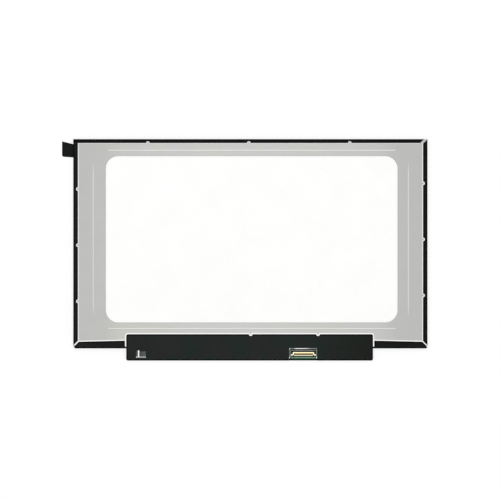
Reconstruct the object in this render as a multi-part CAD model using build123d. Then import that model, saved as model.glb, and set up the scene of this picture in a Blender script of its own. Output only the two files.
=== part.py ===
"""Slim laptop display module without brackets, 14-inch class, as it comes apart on a bench.

The module lies on its front face, so its rear side is up. X runs to the right and Y towards the
top edge, as seen from behind, and Z from the front face to the rear. The origin is on the front
face, at the centre of the module's outline without its driver board. Sizes are millimetres.
"""
import math
import os

from build123d import *

# Outline of the module, without the driver board below it
panel_width = 315.8
panel_height = 186.6

# Layers from the front face to the rear
film_thickness = 0.06
polariser_thickness = 0.14
colour_glass_thickness = 0.30
array_glass_thickness = 0.30
stack_play = 0.06
prism_thickness = 0.14
diffuser_thickness = 0.11
guide_thickness = 0.65
reflector_thickness = 0.16
plate_thickness = 0.30
tape_thickness = 0.06

# Protective film and its pull tab
film_inset = 0.3
film_corner_radius = 1.0
tab_thickness = 0.10
tab_reach = 10.2
tab_drop = 4.35
tab_root_length = 11.9
tab_tip_rise = 2.5
tab_tip_length = 13.7
tab_corner_radius = 1.8

# Glass cell
glass_inset = 0.12
glass_setback = 0.3
ledge_depth = 4.6
glass_corner_cut = 1.5
polariser_gap = 0.4
rim_tape_inset = 0.1
rim_tape_width = 1.2
rim_band_depth = 4.9

# Driver chips and flex links on the glass ledge
driver_count = 4
chip_end_inset = 6.5
chip_depth = 1.4
chip_height = 0.25
chip_offset = 0.6
link_end_margin = 10.9
link_gap = 12.0
link_thickness = 0.05
link_bond = 1.6
link_landing = 3.0
ledge_cover_thickness = 0.06
ledge_cover_lap = 1.2
ledge_cover_landing = 4.5
ledge_cover_step = 1.0

# Light guide, sheets and plastic frame
frame_clearance = 0.1
frame_side_bar = 1.5
frame_top_bar = 1.3
frame_bottom_wall = 0.7
sheet_clearance = 0.3
shelf_play = 0.04
lug_depth = 1.3
lug_gap = 0.05
lug_corner_left = 1.3
lug_corner_right = 0.5
ear_length = 6.0
ear_reach = 0.7
ear_clearance = 0.25
ear_spread = 110.0
nub_length = 5.0
nub_height = 0.4
nub_engagement = 0.2
nub_clearance = 0.15
top_nub_count = 4
top_nub_pitch = 80.0
side_nub_count = 3
side_nub_pitch = 60.0

# Light bar
bay_depth = 6.0
led_count = 36
led_length = 3.8
led_depth = 1.0
led_play = 0.05
led_gap = 0.1
led_wall = 0.12
led_recess = 0.35
flex_thickness = 0.10
flex_margin = 0.6
led_tape_thickness = 0.05
led_tape_margin = 0.4
tail_width = 8.0
tail_from_board_centre = -77.0
tail_clearance = 0.4
tail_step = 0.3
tail_drop = 1.6
tail_landing = 3.3

# Pressed back plate
plate_corner_radius = 0.8
bend_inner_radius = 0.2
wall_setback = 0.15
corner_relief = 3.5
window_margin_left = 28.9
window_margin_right = 26.6
window_margin_top = 15.0
window_margin_bottom = 23.1
window_radius = 11.2
bead_width = 1.3
bead_height = 0.18
bead_side_angle = 65.0
bead_inset_wide = 1.65
bead_inset_tall = 6.0
bead_offset_top = 4.9
bead_offset_bottom = 5.5
bead_offset_left = 11.0
bead_offset_right = 9.45

# Edge tapes
tape_front_lap = 1.2
top_tape_lap = 3.5
left_tape_lap = 4.15
right_tape_lap = 4.0
bottom_tape_lap_board = 6.95
bottom_tape_lap_corner = 6.0
bottom_tape_setback = 1.1
bottom_tape_corner_radius = 0.9
side_tape_end = 2.9
right_tape_start = 0.15
mitre_gap_top = 2.3
mitre_gap_bottom = 1.25
tape_butt_gap = 0.05
mitre_stretch = math.sqrt(2)
index_notch_radius = 1.6
top_notch_pitch = 90.0
side_notch_pitch = 50.0
top_notch_centre = -1.4
left_notch_centre = -1.3
right_notch_centre = 3.9

# Driver board and the black sheet over it
board_length = 217.8
board_height = 11.6
board_thickness = 0.5
board_corner_radius = 0.8
board_gap = 0.5
board_centre = -0.7
cover_thickness = 0.08
cover_fit = 0.02
cover_overhang = 1.1
cover_lap = 11.4
cover_clearance = 0.15
cover_slope = 2.4
cover_edge_slope = 1.8
cover_edge_step = 0.15
cover_flap = 3.0
cover_bend_radius = 0.6
cover_corner_radius = 1.6
cover_tape_gap = 1.15
cover_notch_first = 0.3
cover_notch_pitch = 60.0
cover_opening_margin = 1.25
cover_opening_shift = -0.3
cover_opening_back = 1.75
cover_opening_radius = 0.8

# Board parts, placed along the board by their distance from the connector
controller_size = 7.0
controller_height = 0.85
controller_corner = 0.7
controller_offset = -34.0
support_chip_height = 0.75
power_chip_size = 4.0
power_chip_offsets = (22.0, -66.0)
memory_chip_width = 3.0
memory_chip_depth = 2.0
memory_chip_offset = -23.0
inductor_size = 3.0
inductor_height = 0.95
inductor_corner = 0.6
inductor_offsets = (29.0, -74.0)
capacitor_length = 1.6
capacitor_width = 0.8
capacitor_height = 0.8
capacitor_pitch = 4.0
capacitor_drop = 1.8
capacitor_row_starts = (-78.0, -26.0, 20.0)
capacitor_row_counts = (10, 3, 4)
resistor_length = 1.0
resistor_width = 0.5
resistor_height = 0.35
resistor_pitch = 3.0
resistor_rise = 2.6
resistor_row_starts = (-60.0, 20.0)
resistor_row_counts = (5, 4)
terminal_share = 0.22
terminal_skin = 0.03

# Board connector, 30 contacts
connector_from_board_centre = 48.0
contact_count = 30
contact_pitch = 0.5
contact_width = 0.2
contact_thickness = 0.10
contact_fit = 0.02
contact_tail = 0.7
contact_nose = 1.1
housing_end_wall = 1.95
housing_depth = 3.9
housing_height = 0.95
housing_floor = 0.45
housing_back_wall = 1.2
housing_from_edge = 4.7
shell_thickness = 0.12
shell_fit = 0.08
shell_back_step = 1.0
shell_overhang = 0.7
shell_wing_reach = 1.7
shell_wing_depth = 1.7
shell_slot_depth = 1.5
shell_slot_inset = 0.95
shell_front_bar = 1.1
lock_notch_width = 1.25
lock_notch_depth = 0.85
lock_notch_inset = 1.1

# Heights worked out from the layers
z_polariser = film_thickness
z_colour_glass = z_polariser + polariser_thickness
z_array_glass = z_colour_glass + colour_glass_thickness
z_rear_polariser = z_array_glass + array_glass_thickness
rim_tape_thickness = polariser_thickness + stack_play
z_frame = z_rear_polariser + rim_tape_thickness
z_lower_prism = z_frame + prism_thickness
z_diffuser = z_lower_prism + prism_thickness
z_guide = z_diffuser + diffuser_thickness
z_reflector = z_guide + guide_thickness
z_plate = z_reflector + reflector_thickness
z_back = z_plate + plate_thickness
z_flex = z_plate - led_tape_thickness - flex_thickness
z_board = z_array_glass
z_board_rear = z_board + board_thickness
led_height = guide_thickness - led_play

# Lines in plan worked out from the outline
side = panel_width / 2
top = panel_height / 2
bottom = -panel_height / 2
plate_right = side - tape_thickness
plate_top = top - tape_thickness
plate_bottom = bottom + lug_depth
frame_right = plate_right - plate_thickness - frame_clearance
frame_top = plate_top - plate_thickness - frame_clearance
frame_bottom = plate_bottom + plate_thickness + frame_clearance
bay_bottom = frame_bottom + frame_bottom_wall
guide_bottom = bay_bottom + bay_depth
guide_top = frame_top - frame_top_bar - sheet_clearance
guide_right = frame_right - frame_side_bar - sheet_clearance
shelf_edge = guide_bottom - sheet_clearance
glass_right = plate_right - glass_inset
glass_top = plate_top - glass_inset
array_bottom = plate_bottom + glass_setback
colour_bottom = array_bottom + ledge_depth
board_top = plate_bottom - board_gap
board_bottom = board_top - board_height
board_left = board_centre - board_length / 2
board_right = board_centre + board_length / 2
cover_left = board_left - cover_overhang
cover_right = board_right + cover_overhang
cover_top = plate_bottom + cover_lap
cover_bottom = board_bottom - cover_fit - cover_thickness
board_middle = (board_top + board_bottom) / 2
link_width = (board_length - 2 * link_end_margin - (driver_count - 1) * link_gap) / driver_count
chip_length = link_width - 2 * chip_end_inset
tail_centre = board_centre + tail_from_board_centre
connector_x = board_centre + connector_from_board_centre
housing_front = board_bottom + housing_from_edge
housing_back = housing_front + housing_depth
housing_half = (contact_count - 1) * contact_pitch / 2 + housing_end_wall
shell_half = housing_half + shell_fit + shell_thickness
shell_wing = shell_half + shell_wing_reach
shell_back = housing_back - shell_back_step
shell_front = housing_front - shell_overhang
wing_back = shell_front + shell_wing_depth
tail_end = housing_back + contact_tail
bend_outer_radius = bend_inner_radius + plate_thickness
window_left = -side + window_margin_left
window_right = side - window_margin_right
window_top = top - window_margin_top
window_bottom = bottom + window_margin_bottom


def between(x0, x1, y0, y1):
    """A rectangle in plan between two corners."""
    return Pos((x0 + x1) / 2, (y0 + y1) / 2) * Rectangle(x1 - x0, y1 - y0)


def outline(*points):
    """A closed straight-sided outline."""
    return make_face(Polyline(*points, close=True))


def layer(plan, z, thickness):
    """A flat piece: an outline in plan, from height z upwards."""
    return extrude(Pos(0, 0, z) * plan, thickness, dir=(0, 0, 1))


def across(profile, x0, x1):
    """A side-view profile drawn as (y, z), run along X from x0 to x1."""
    return extrude(Plane.YZ.offset(x0) * profile, x1 - x0, dir=(1, 0, 0))


def ribbon(thickness, points, radii):
    """The section of a bent sheet, from the points of its middle line."""
    return trace(FilletPolyline(*points, radius=radii), line_width=thickness)


def spread(count, pitch, centre=0.0):
    """Evenly spaced places about a centre."""
    return [centre + (index - (count - 1) / 2) * pitch for index in range(count)]


def group(pieces):
    """Several like solids in one node."""
    return Compound(children=list(pieces))


def sheet_plan():
    """Outline of the light guide and the loose sheets, with the ears that locate them."""
    plan = between(-guide_right, guide_right, guide_bottom, guide_top)
    for y in spread(2, ear_spread):
        reach = guide_right + ear_reach
        plan += between(-reach, reach, y - ear_length / 2, y + ear_length / 2)
    return plan


def tab_plan(root_x):
    """Outline of the pull tab, from its root at root_x to its slanted tip."""
    tip_x = -side - tab_reach
    root_top = top - tab_drop
    root_bottom = root_top - tab_root_length
    tip_top = root_top + tab_tip_rise
    tip_bottom = tip_top - tab_tip_length
    plan = outline((root_x, root_top), (tip_x, tip_top), (tip_x, tip_bottom), (root_x, root_bottom))
    low_tip = plan.vertices().sort_by(Axis.Y).filter_by(lambda v: v.X < root_x - tab_reach / 2)[0]
    return fillet(low_tip, tab_corner_radius)


def protective_film():
    """Clear film over the whole front, with the ear that carries the pull tab."""
    plan = between(-side + film_inset, side - film_inset, bottom + film_inset, top - film_inset)
    plan = fillet(plan.vertices(), film_corner_radius)
    return layer(plan + tab_plan(-side + 2 * film_inset), 0, film_thickness)


def pull_tab():
    """Black tab on the rear of the film's ear."""
    return layer(tab_plan(-side - tape_butt_gap), film_thickness, tab_thickness)


def front_polariser():
    half = plate_right - tape_front_lap - polariser_gap
    high = plate_top - tape_front_lap - polariser_gap
    low = colour_bottom + ledge_cover_lap + polariser_gap
    return layer(between(-half, half, low, high), z_polariser, polariser_thickness)


def colour_filter_glass():
    plan = between(-glass_right, glass_right, colour_bottom, glass_top)
    return layer(plan, z_colour_glass, colour_glass_thickness)


def array_glass():
    """The longer glass: its lower ledge carries the driver chips."""
    plan = between(-glass_right, glass_right, array_bottom, glass_top)
    plan = chamfer(plan.vertices().group_by(Axis.Y)[0], glass_corner_cut)
    return layer(plan, z_array_glass, array_glass_thickness)


def rim_opening():
    """Outline inside the rim tape."""
    half = frame_right - rim_tape_inset - rim_tape_width
    high = frame_top - rim_tape_inset - rim_tape_width
    return half, frame_bottom + rim_tape_inset + rim_band_depth, high


def rear_polariser():
    half, low, high = rim_opening()
    plan = between(-half + polariser_gap / 2, half - polariser_gap / 2,
                   low + polariser_gap / 2, high - polariser_gap / 2)
    return layer(plan, z_rear_polariser, polariser_thickness)


def rim_tape():
    """Tape ring that holds the glass on the plastic frame."""
    half, low, high = rim_opening()
    ring = between(-frame_right + rim_tape_inset, frame_right - rim_tape_inset,
                   frame_bottom + rim_tape_inset, frame_top - rim_tape_inset)
    ring -= between(-half, half, low, high)
    return layer(ring, z_rear_polariser, rim_tape_thickness)


def driver_chips():
    """Long bare chips bonded to the front of the glass ledge."""
    high = colour_bottom - chip_offset
    z = z_array_glass - chip_height
    return group(
        layer(between(x - chip_length / 2, x + chip_length / 2, high - chip_depth, high), z, chip_height)
        for x in spread(driver_count, link_width + link_gap, board_centre)
    )


def flex_links():
    """Flat flex strips from the glass ledge to the front face of the board."""
    high = array_bottom + link_bond
    low = board_top - link_landing
    z = z_array_glass - link_thickness
    return group(
        layer(between(x - link_width / 2, x + link_width / 2, low, high), z, link_thickness)
        for x in spread(driver_count, link_width + link_gap, board_centre)
    )


def ledge_cover():
    """Black front tape over the glass ledge, with a lower flap on the flex strips."""
    middle = ledge_cover_thickness / 2
    high = colour_bottom + ledge_cover_lap
    low = board_top - ledge_cover_landing
    z_glass = z_colour_glass - middle
    z_link = z_board - link_thickness - middle
    radius = 2 * ledge_cover_thickness
    profile = ribbon(
        ledge_cover_thickness,
        [(high, z_glass), (board_top, z_glass), (board_top - ledge_cover_step, z_link), (low, z_link)],
        [radius, radius],
    )
    half = plate_right - tape_front_lap - tape_butt_gap
    shoulder = bottom + tape_front_lap + tape_butt_gap
    plan = between(-half, half, shoulder, high) + between(board_left, board_right, low, high)
    return across(profile, -half, half) & layer(plan, 0, z_back)


def upper_prism_sheet():
    return layer(sheet_plan(), z_frame, prism_thickness)


def lower_prism_sheet():
    return layer(sheet_plan(), z_lower_prism, prism_thickness)


def diffuser_sheet():
    return layer(sheet_plan(), z_diffuser, diffuser_thickness)


def light_guide_plate():
    return layer(sheet_plan(), z_guide, guide_thickness)


def reflector_sheet():
    """White sheet behind the light guide, seen through the plate's window."""
    plan = between(-guide_right, guide_right, guide_bottom, guide_top)
    return layer(plan, z_reflector, reflector_thickness)


def bay_flex_plan(margin):
    """Outline of a strip in the light bar's bay, held back from the bay's walls."""
    half = guide_right - margin
    return between(-half, half, bay_bottom + margin, guide_bottom - led_gap)


def leds():
    """Side-view light sources on the flex, with their emitting faces towards the guide."""
    face = guide_bottom - led_gap
    pitch = 2 * guide_right / led_count
    z = z_flex - led_height
    lens = led_length - 2 * led_wall
    pieces = []
    for x in spread(led_count, pitch):
        body = layer(between(x - led_length / 2, x + led_length / 2, face - led_depth, face), z, led_height)
        pocket = layer(between(x - lens / 2, x + lens / 2, face - led_recess, face + led_gap),
                       z + led_wall, led_height - 2 * led_wall)
        pieces.append(body - pocket)
    return group(pieces)


def led_flex():
    """Flex strip under the light sources, with a tail that steps down to the board."""
    strip = layer(bay_flex_plan(flex_margin), z_flex, flex_thickness)
    middle = flex_thickness / 2
    step = board_top - tail_step
    profile = ribbon(
        flex_thickness,
        [(bay_bottom + 2 * flex_margin, z_flex + middle), (step, z_flex + middle),
         (step - tail_drop, z_board_rear + middle), (step - tail_drop - tail_landing, z_board_rear + middle)],
        [3 * flex_thickness, 3 * flex_thickness],
    )
    return strip + across(profile, tail_centre - tail_width / 2, tail_centre + tail_width / 2)


def led_tape():
    """Double-sided tape between the flex strip and the plate."""
    plan = bay_flex_plan(flex_margin + led_tape_margin)
    return layer(plan, z_plate - led_tape_thickness, led_tape_thickness)


def nub_places():
    """Where the frame's snap nubs sit: across the top, and down each side."""
    return spread(top_nub_count, top_nub_pitch), spread(side_nub_count, side_nub_pitch)


def snap_nub(length):
    """A wedge along X on the face Y = 0, thick towards the front so that it catches in its slot."""
    reach = frame_clearance + nub_engagement
    wedge = outline((0, 0), (reach, 0), (0, nub_height))
    return across(wedge, -length / 2, length / 2)


def mould_frame():
    """Black plastic frame: bars round the sheets, a bay for the light bar, and two lower lugs."""
    depth = z_plate - z_frame
    body = layer(between(-frame_right, frame_right, frame_bottom, frame_top), z_frame, depth)
    rear_edges = body.faces().sort_by(Axis.Z)[-1].edges()
    body = chamfer(rear_edges, bend_inner_radius)
    half = guide_right + sheet_clearance
    body -= layer(between(-half, half, shelf_edge, guide_top + sheet_clearance), z_frame, depth)
    body -= layer(between(-half, half, bay_bottom, shelf_edge), z_guide - shelf_play, depth)
    ear_half = ear_length / 2 + ear_clearance
    for y in spread(2, ear_spread):
        reach = guide_right + ear_reach + ear_clearance
        body -= layer(between(-reach, reach, y - ear_half, y + ear_half), z_frame, z_reflector - z_frame)
    tail_half = tail_width / 2 + tail_clearance
    body -= layer(between(tail_centre - tail_half, tail_centre + tail_half, frame_bottom, bay_bottom),
                  z_flex - tail_clearance, depth)
    z_nub = z_frame + depth / 2 - nub_height / 2
    across_top, down_side = nub_places()
    for x in across_top:
        body += Pos(x, frame_top, z_nub) * snap_nub(nub_length)
    for y in down_side:
        body += Pos(-frame_right, y, z_nub) * Rot(0, 0, 90) * snap_nub(nub_length)
        body += Pos(frame_right, y, z_nub) * Rot(0, 0, -90) * snap_nub(nub_length)
    body += lug(-frame_right, cover_left - lug_gap, -frame_right, lug_corner_left)
    return body + lug(cover_right + lug_gap, frame_right, frame_right, lug_corner_right)


def lug(x0, x1, corner_x, corner_cut):
    """A thick lower rail that stands out below the plate and carries a bottom tape, cut at its corner."""
    inner = bay_bottom
    outer = bottom + tape_thickness
    glass_line = array_bottom - frame_clearance
    plate_line = plate_bottom - frame_clearance
    profile = outline(
        (inner, z_frame), (glass_line, z_frame), (glass_line, z_colour_glass), (outer, z_colour_glass),
        (outer, z_back), (plate_line, z_back), (plate_line, z_plate), (inner, z_plate),
    )
    outer_corners = profile.vertices().group_by(Axis.X)[0].sort_by(Axis.Y)
    profile = fillet(outer_corners[0], glass_inset)
    rear_corner = profile.vertices().group_by(Axis.X)[0].sort_by(Axis.Y)[-1]
    rail = across(fillet(rear_corner, bend_outer_radius), x0, x1)
    cut = corner_cut * mitre_stretch
    corner = Pos(corner_x, outer) * Rot(0, 0, 45) * Rectangle(cut, cut)
    return rail - layer(corner, 0, z_back + plate_thickness)


def bead(length, extra):
    """A raised bead along X on the plane Z = 0, as a slot with sloping sides."""
    plan = SlotOverall(length + 2 * extra, bead_width + 2 * extra)
    return extrude(plan, bead_height, taper=bead_side_angle)


def bead_places():
    """Each bead's place in plan, its turn and its length."""
    wide = window_right - window_left - 2 * bead_inset_wide
    tall = window_top - window_bottom - 2 * bead_inset_tall
    x = (window_left + window_right) / 2
    y = (window_top + window_bottom) / 2
    return [
        (Pos(x, window_top + bead_offset_top), wide),
        (Pos(x, window_bottom - bead_offset_bottom), wide),
        (Pos(window_left - bead_offset_left, y) * Rot(0, 0, 90), tall),
        (Pos(window_right + bead_offset_right, y) * Rot(0, 0, 90), tall),
    ]


def back_plate():
    """Pressed metal tray: rounded window, bent walls with open corners, beads and snap slots."""
    z_wall = z_frame + wall_setback
    outer = layer(between(-plate_right, plate_right, plate_bottom, plate_top), z_wall, z_back - z_wall)
    outer = fillet(outer.edges().filter_by(Axis.Z), plate_corner_radius)
    outer = fillet(outer.faces().sort_by(Axis.Z)[-1].edges(), bend_outer_radius)
    inset = plate_thickness
    cavity = layer(
        between(-plate_right + inset, plate_right - inset, plate_bottom + inset, plate_top - inset),
        z_wall - inset, z_plate - z_wall + inset,
    )
    cavity = fillet(cavity.faces().sort_by(Axis.Z)[-1].edges(), bend_inner_radius)
    body = outer - cavity
    window = between(window_left, window_right, window_bottom, window_top)
    body -= layer(fillet(window.vertices(), window_radius), z_plate, plate_thickness)
    for place, length in bead_places():
        body += Pos(0, 0, z_back) * place * bead(length, 0)
        body -= Pos(0, 0, z_plate) * place * bead(length, -plate_thickness / 2)
    return body - wall_cuts(z_wall)


def wall_cuts(z_wall):
    """What is cut out of the plate's walls: open corners, the board's ends, the tail and the nubs."""
    height = z_plate - z_wall
    deep = plate_thickness + bend_inner_radius
    low = plate_bottom + deep
    cuts = []
    for x in (-plate_right, plate_right):
        for y in (plate_bottom, plate_top):
            cuts.append(between(x - corner_relief, x + corner_relief, y - corner_relief, y + corner_relief))
    cuts.append(between(-plate_right, cover_left, plate_bottom, low))
    cuts.append(between(cover_right, plate_right, plate_bottom, low))
    tail_half = tail_width / 2 + tail_clearance
    cuts.append(between(tail_centre - tail_half, tail_centre + tail_half, plate_bottom, low))
    result = [layer(plan, z_wall, height) for plan in cuts]
    slot_half = nub_length / 2 + nub_clearance
    slot_height = nub_height + 2 * nub_clearance
    z_slot = z_frame + (z_plate - z_frame) / 2 - slot_height / 2
    across_top, down_side = nub_places()
    for x in across_top:
        result.append(layer(between(x - slot_half, x + slot_half, plate_top - deep, plate_top),
                            z_slot, slot_height))
    for y in down_side:
        for x in (-plate_right + deep / 2, plate_right - deep / 2):
            result.append(layer(between(x - deep / 2, x + deep / 2, y - slot_half, y + slot_half),
                                z_slot, slot_height))
    return result


def tape_strip(lap, plan, notches=()):
    """A tape folded round an edge. It is drawn along X, with its outer face on Y = 0."""
    middle = tape_thickness / 2
    profile = ribbon(
        tape_thickness,
        [(-lap, z_back + middle), (-middle, z_back + middle),
         (-middle, z_colour_glass - middle), (-tape_front_lap, z_colour_glass - middle)],
        [bend_outer_radius + middle, glass_inset + middle],
    )
    strip = across(profile, -panel_width, panel_width) & layer(plan, 0, z_back + plate_thickness)
    for x in notches:
        strip -= layer(Pos(x, -lap) * Circle(index_notch_radius), z_plate, z_back)
    return strip


def tape_plan(start, start_slope, end, end_slope, depth):
    """Plan of a tape from start to end on its outer face. A slope of 1 is a mitre, 0 a square end."""
    beyond = tape_thickness
    return outline(
        (start - start_slope * beyond, beyond), (end + end_slope * beyond, beyond),
        (end - end_slope * depth, -depth), (start + start_slope * depth, -depth),
    )


def tape_top():
    end = side - (mitre_gap_top * mitre_stretch - right_tape_start)
    plan = tape_plan(-side, 0, end, 1, 2 * top_tape_lap)
    return Pos(0, top) * tape_strip(top_tape_lap, plan, spread(3, top_notch_pitch, top_notch_centre))


def tape_left():
    plan = tape_plan(bottom + side_tape_end, 1, top - top_tape_lap - tape_butt_gap, 0, 2 * left_tape_lap)
    strip = tape_strip(left_tape_lap, plan, spread(3, side_notch_pitch, left_notch_centre))
    return Pos(-side, 0) * Rot(0, 0, 90) * strip


def tape_right():
    plan = tape_plan(-top + right_tape_start, 1, -bottom - side_tape_end, 1, 2 * right_tape_lap)
    strip = tape_strip(right_tape_lap, plan, spread(3, side_notch_pitch, -right_notch_centre))
    return Pos(side, 0) * Rot(0, 0, -90) * strip


def bottom_tape(board_end):
    """A lower tape from the board's end, at this distance from the middle, to its mitred corner."""
    corner = side - bottom_tape_setback
    beyond = tape_thickness
    mitre_start = side_tape_end - mitre_gap_bottom * mitre_stretch
    corner_depth = mitre_start + bottom_tape_setback
    slanted = bottom_tape_lap_corner - corner_depth
    plan = outline(
        (board_end, beyond), (corner, beyond), (corner, -corner_depth),
        (corner - slanted, -bottom_tape_lap_corner), (board_end, -bottom_tape_lap_board),
    )
    plan = fillet(plan.vertices().sort_by(lambda v: v.X + v.Y)[-1], bottom_tape_corner_radius)
    return Pos(0, bottom) * Rot(0, 0, 180) * tape_strip(bottom_tape_lap_board, plan)


def tape_bottom_left():
    return bottom_tape(-cover_left + cover_tape_gap)


def tape_bottom_right():
    return mirror(bottom_tape(cover_right + cover_tape_gap), Plane.YZ)


def driver_board():
    plan = fillet(between(board_left, board_right, board_bottom, board_top).vertices(), board_corner_radius)
    return layer(plan, z_board, board_thickness)


def board_cover():
    """Black sheet from the plate down over the board and round its lower edge, open at the connector."""
    middle = cover_thickness / 2
    z_high = z_back + middle
    tallest = max(controller_height, support_chip_height, inductor_height, capacitor_height + terminal_skin)
    z_low = z_board_rear + tallest + cover_clearance + middle
    edge = board_bottom - cover_fit - middle
    z_front = z_board - cover_fit - middle
    profile = ribbon(
        cover_thickness,
        [(cover_top, z_high), (plate_bottom, z_high), (plate_bottom - cover_slope, z_low),
         (board_bottom + cover_edge_slope, z_low), (edge, z_board_rear + cover_edge_step),
         (edge, z_front), (board_bottom + cover_flap, z_front)],
        [cover_bend_radius, cover_bend_radius, cover_bend_radius, cover_edge_step, middle + cover_fit],
    )
    plan = fillet(between(cover_left, cover_right, cover_bottom, cover_top).vertices(), cover_corner_radius)
    half = shell_wing + cover_opening_margin
    middle_x = connector_x + cover_opening_shift
    opening = between(middle_x - half, middle_x + half,
                      cover_bottom - cover_opening_radius, tail_end + cover_opening_back)
    plan -= fillet(opening.vertices().group_by(Axis.Y)[-1], cover_opening_radius)
    for x in (cover_notch_first, cover_notch_first + cover_notch_pitch):
        plan -= Pos(x, cover_top) * Circle(index_notch_radius)
    return across(profile, cover_left, cover_right) & layer(plan, 0, z_back + plate_thickness)


def on_board(x, y, size_x, size_y, height):
    """A block on the rear face of the board."""
    return layer(between(x - size_x / 2, x + size_x / 2, y - size_y / 2, y + size_y / 2),
                 z_board_rear, height)


def timing_controller():
    chip = on_board(connector_x + controller_offset, board_middle,
                    controller_size, controller_size, controller_height)
    marker_corner = chip.edges().filter_by(Axis.Z).sort_by(Axis.X)[0]
    return chamfer(marker_corner, controller_corner)


def support_chips():
    """Two power chips and a memory chip."""
    pieces = [on_board(connector_x + memory_chip_offset, board_middle,
                       memory_chip_width, memory_chip_depth, support_chip_height)]
    for offset in power_chip_offsets:
        pieces.append(on_board(connector_x + offset, board_middle,
                               power_chip_size, power_chip_size, support_chip_height))
    return group(pieces)


def inductors():
    pieces = []
    for offset in inductor_offsets:
        block = on_board(connector_x + offset, board_middle, inductor_size, inductor_size, inductor_height)
        pieces.append(chamfer(block.edges().filter_by(Axis.Z), inductor_corner))
    return group(pieces)


def chip_part(x, y, length, width, height):
    """A two-ended chip part with raised metal ends."""
    body = on_board(x, y, length, width, height)
    end = length * terminal_share
    for direction in (-1, 1):
        middle = x + direction * (length - end) / 2
        body += on_board(middle, y, end, width + 2 * terminal_skin, height + terminal_skin)
    return body


def row_places(starts, counts, pitch):
    """Places along the board, for rows that each start at a distance from the connector."""
    return [connector_x + start + index * pitch
            for start, count in zip(starts, counts) for index in range(count)]


def capacitors():
    y = board_top - capacitor_drop
    return group(chip_part(x, y, capacitor_length, capacitor_width, capacitor_height)
                 for x in row_places(capacitor_row_starts, capacitor_row_counts, capacitor_pitch))


def resistors():
    y = board_bottom + resistor_rise
    return group(chip_part(x, y, resistor_length, resistor_width, resistor_height)
                 for x in row_places(resistor_row_starts, resistor_row_counts, resistor_pitch))


def contact_places():
    return spread(contact_count, contact_pitch, connector_x)


def contact_profile(fit):
    """Side view of a contact: a tail on the board, a riser behind the housing and a beam over its floor."""
    z_beam = z_board_rear + housing_floor
    riser = housing_back + contact_thickness
    nose = housing_front + contact_nose
    return outline(
        (tail_end, z_board_rear), (tail_end, z_board_rear + contact_thickness),
        (riser, z_board_rear + contact_thickness), (riser, z_beam + contact_thickness + fit),
        (nose, z_beam + contact_thickness + fit), (nose, z_beam), (housing_back, z_beam),
        (housing_back, z_board_rear),
    )


def connector_contacts():
    half = contact_width / 2
    return group(across(contact_profile(0), x - half, x + half) for x in contact_places())


def both_ends(inner, outer, y0, y1):
    """Two like rectangles in plan, one at each end of the connector."""
    return (between(connector_x - outer, connector_x - inner, y0, y1)
            + between(connector_x + inner, connector_x + outer, y0, y1))


def connector_housing():
    """Black plastic tray with an ear outside each end of the shell, open towards the board's lower edge."""
    plan = between(connector_x - housing_half, connector_x + housing_half, housing_front, housing_back)
    plan += between(connector_x - shell_wing, connector_x + shell_wing, shell_back + shell_fit, housing_back)
    plan += both_ends(shell_half + shell_fit, shell_wing, wing_back + shell_fit, housing_back)
    body = layer(plan, z_board_rear, housing_height)
    mouth = housing_half - housing_end_wall / 2
    body -= layer(between(connector_x - mouth, connector_x + mouth,
                          housing_front, housing_back - housing_back_wall),
                  z_board_rear + housing_floor, housing_height)
    half = contact_width / 2 + contact_fit
    for x in contact_places():
        body -= across(contact_profile(contact_fit), x - half, x + half)
    return body


def connector_shell():
    """Gold-plated cover of the connector: a slotted top with two front wings and four legs."""
    plan = between(connector_x - shell_half, connector_x + shell_half, shell_front, shell_back)
    plan += between(connector_x - shell_wing, connector_x + shell_wing, shell_front, wing_back)
    slot_half = shell_half - shell_slot_inset
    slot_front = shell_front + shell_front_bar
    plan -= between(connector_x - slot_half, connector_x + slot_half,
                    slot_front, slot_front + shell_slot_depth)
    notch = shell_half - lock_notch_inset
    plan -= both_ends(notch, notch + lock_notch_width, shell_front, shell_front + lock_notch_depth)
    shell = layer(plan, z_board_rear + housing_height, shell_thickness)
    for x, y0, y1 in ((shell_half, wing_back, shell_back), (shell_wing, shell_front, wing_back)):
        shell += layer(both_ends(x - shell_thickness, x, y0, y1), z_board_rear, housing_height)
    return shell


pieces = [
    protective_film, pull_tab, front_polariser, colour_filter_glass, array_glass, rear_polariser,
    driver_chips, flex_links, ledge_cover, rim_tape, upper_prism_sheet, lower_prism_sheet, diffuser_sheet,
    light_guide_plate, reflector_sheet, leds, led_flex, led_tape, mould_frame, back_plate,
    tape_top, tape_left, tape_right, tape_bottom_left, tape_bottom_right, driver_board, board_cover,
    timing_controller, support_chips, inductors, capacitors, resistors,
    connector_housing, connector_shell, connector_contacts,
]

os.makedirs("parts", exist_ok=True)
for piece in pieces:
    export_step(piece(), f"parts/{piece.__name__}.step")
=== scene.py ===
"""Looks of the laptop screen panel: it lies rear side up on a pale floor, seen from straight above."""
import math

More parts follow.
